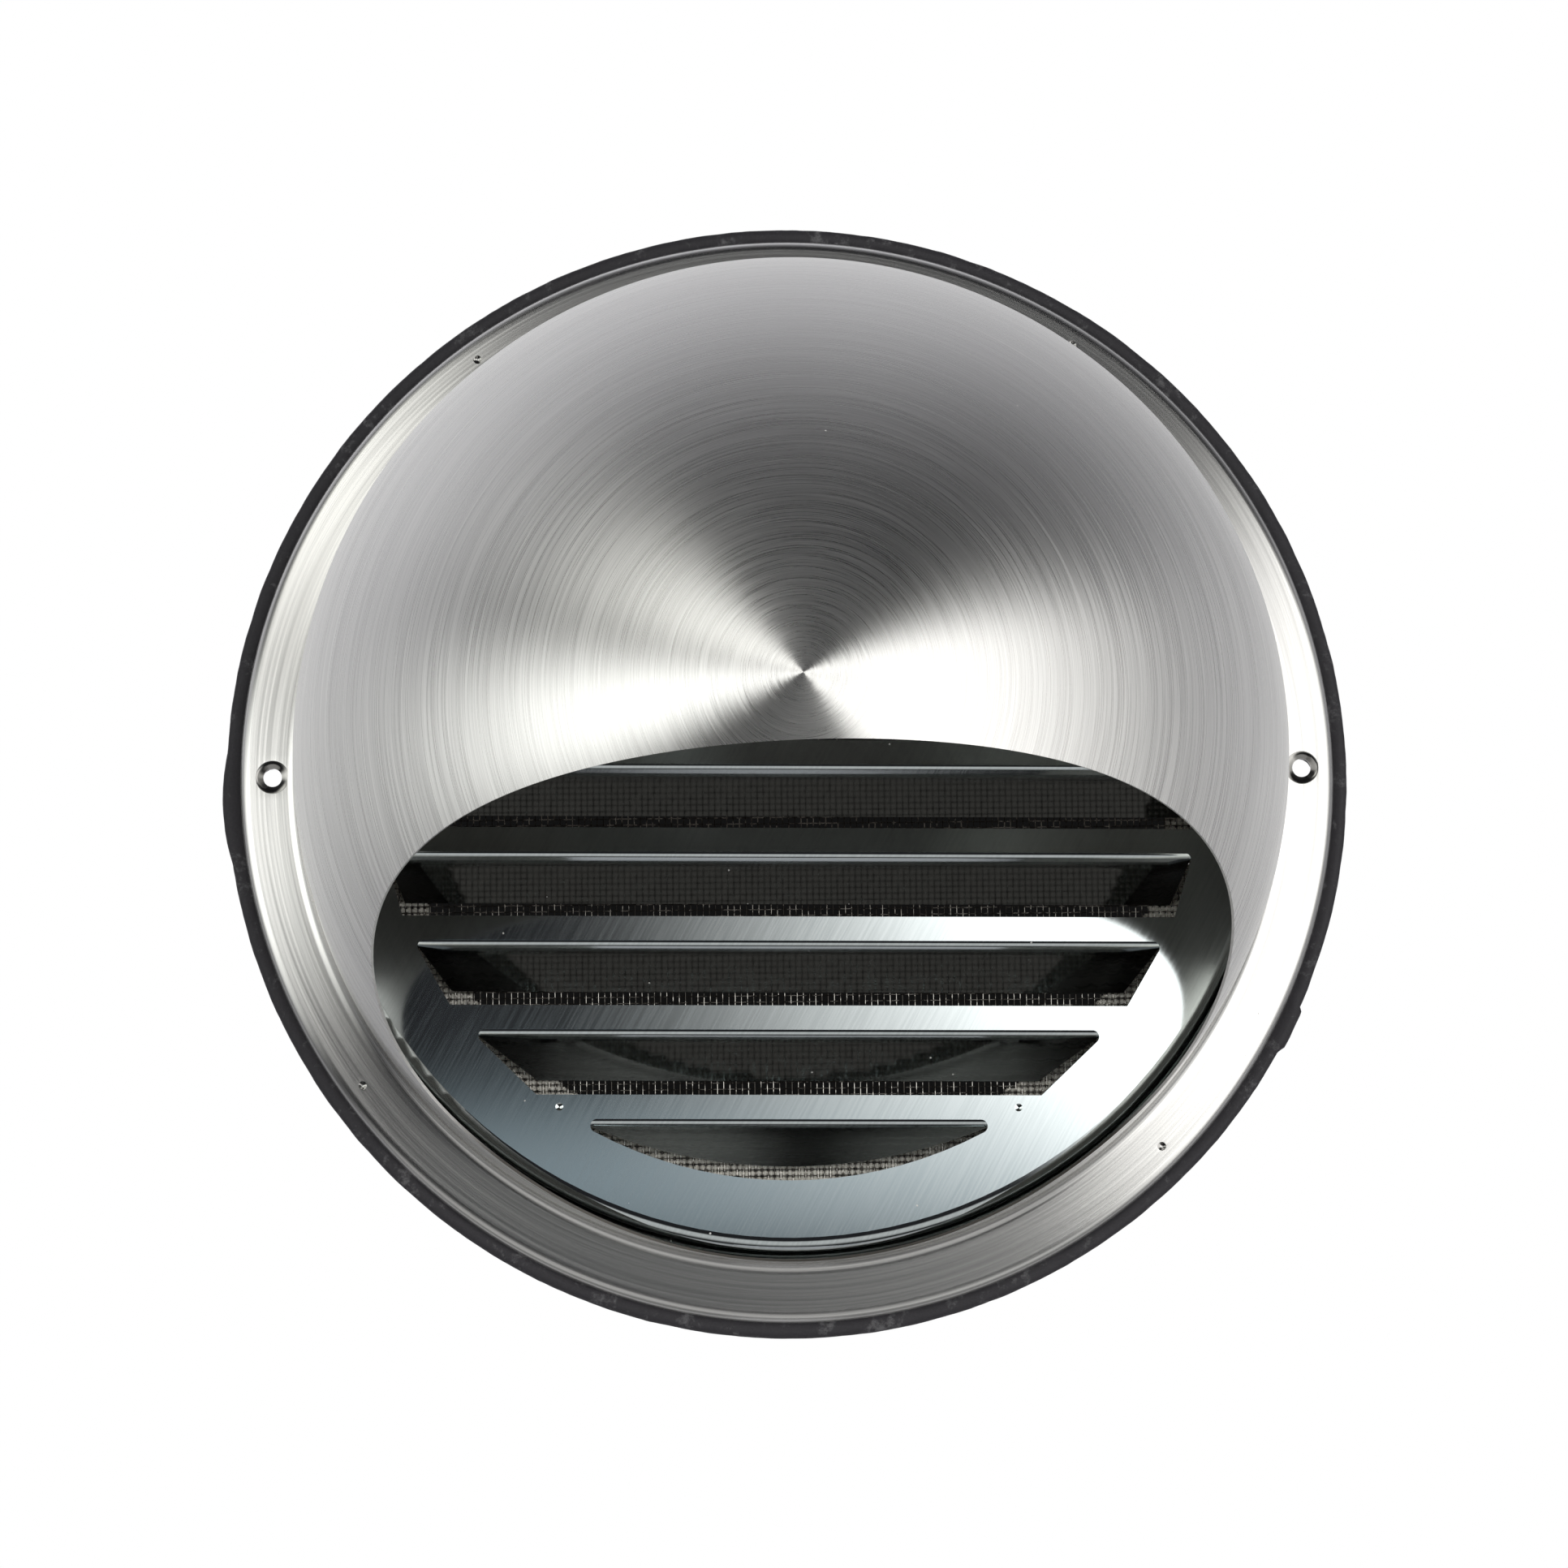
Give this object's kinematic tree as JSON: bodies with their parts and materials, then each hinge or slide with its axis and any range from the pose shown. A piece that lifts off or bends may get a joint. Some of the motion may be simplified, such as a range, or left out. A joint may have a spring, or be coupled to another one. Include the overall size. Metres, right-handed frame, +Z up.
{
  "type": "wall vent hood",
  "caption": "Round stainless wall vent: a half-dome rain hood with a bowed mouth over bent louvres, an insect mesh, a duct spigot and a foam wall gasket.",
  "frame": {"origin": "on the duct axis, in the plane of the wall, where the foam gasket's back lies", "axes": "+Z up, the hood faces -Y, the spigot goes into the wall along +Y"},
  "size_m": [0.2559, 0.2017, 0.255],
  "materials": {
    "spun_steel": "spun and brushed in rings",
    "pressed_steel": "bright rolled sheet with a fine grain",
    "mesh_wire": "plain drawn wire",
    "tube_steel": "rolled sheet",
    "black_foam": "matt closed-cell foam"
  },
  "bodies": {
    "root": {"hood": "spun_steel", "louvre_plate": "pressed_steel", "insect_mesh": "mesh_wire", "spigot": "tube_steel", "foam_gasket": "black_foam"}
  },
  "joints": []
}
